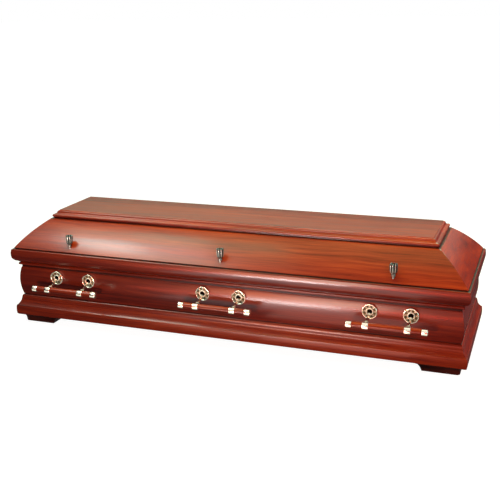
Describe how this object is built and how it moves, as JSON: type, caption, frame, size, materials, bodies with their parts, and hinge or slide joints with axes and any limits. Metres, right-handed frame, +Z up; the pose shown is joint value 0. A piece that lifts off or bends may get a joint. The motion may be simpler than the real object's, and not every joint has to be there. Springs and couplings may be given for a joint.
{
  "type": "wooden coffin",
  "caption": "Lacquered wooden coffin: hollow box on block feet with a moulded base, swelling sides, a raised lid that lifts off, bar handles and fluted coffin screws.",
  "frame": {"origin": "on the ground, under the middle of the coffin", "axes": "+X along the length, +Z up, and -Y out of the long side that faces the viewer in the picture"},
  "size_m": [2.054, 0.7612, 0.5105],
  "materials": {
    "lacquered_wood": "red mahogany stain under high-gloss clear lacquer, fine straight grain",
    "antique_brass": "polished pale antique brass with dark lowlights",
    "dark_bronze": "dark antique bronze, polished on the raised flutes"
  },
  "bodies": {
    "root": {"base_moulding_back": "lacquered_wood", "base_moulding_front": "lacquered_wood", "base_moulding_left": "lacquered_wood", "base_moulding_right": "lacquered_wood", "floor_board": "lacquered_wood", "foot_back_left": "lacquered_wood", "foot_back_right": "lacquered_wood", "foot_front_left": "lacquered_wood", "foot_front_right": "lacquered_wood", "handle_back_left_bar": "lacquered_wood", "handle_back_left_bracket_left": "antique_brass", "handle_back_left_bracket_right": "antique_brass", "handle_back_left_cap_left": "antique_brass", "handle_back_left_cap_right": "antique_brass", "handle_back_middle_bar": "lacquered_wood", "handle_back_middle_bracket_left": "antique_brass", "handle_back_middle_bracket_right": "antique_brass", "handle_back_middle_cap_left": "antique_brass", "handle_back_middle_cap_right": "antique_brass", "handle_back_right_bar": "lacquered_wood", "handle_back_right_bracket_left": "antique_brass", "handle_back_right_bracket_right": "antique_brass", "handle_back_right_cap_left": "antique_brass", "handle_back_right_cap_right": "antique_brass", "handle_front_left_bar": "lacquered_wood", "handle_front_left_bracket_left": "antique_brass", "handle_front_left_bracket_right": "antique_brass", "handle_front_left_cap_left": "antique_brass", "handle_front_left_cap_right": "antique_brass", "handle_front_middle_bar": "lacquered_wood", "handle_front_middle_bracket_left": "antique_brass", "handle_front_middle_bracket_right": "antique_brass", "handle_front_middle_cap_left": "antique_brass", "handle_front_middle_cap_right": "antique_brass", "handle_front_right_bar": "lacquered_wood", "handle_front_right_bracket_left": "antique_brass", "handle_front_right_bracket_right": "antique_brass", "handle_front_right_cap_left": "antique_brass", "handle_front_right_cap_right": "antique_brass", "lid_rim_back": "lacquered_wood", "lid_rim_front": "lacquered_wood", "lid_rim_left": "lacquered_wood", "lid_rim_right": "lacquered_wood", "lid_slope_back": "lacquered_wood", "lid_slope_front": "lacquered_wood", "lid_slope_left": "lacquered_wood", "lid_slope_right": "lacquered_wood", "lid_top_board": "lacquered_wood", "screw_back_left": "dark_bronze", "screw_back_middle": "dark_bronze", "screw_back_right": "dark_bronze", "screw_front_left": "dark_bronze", "screw_front_middle": "dark_bronze", "screw_front_right": "dark_bronze", "wall_back": "lacquered_wood", "wall_front": "lacquered_wood", "wall_left": "lacquered_wood", "wall_right": "lacquered_wood"}
  },
  "joints": []
}
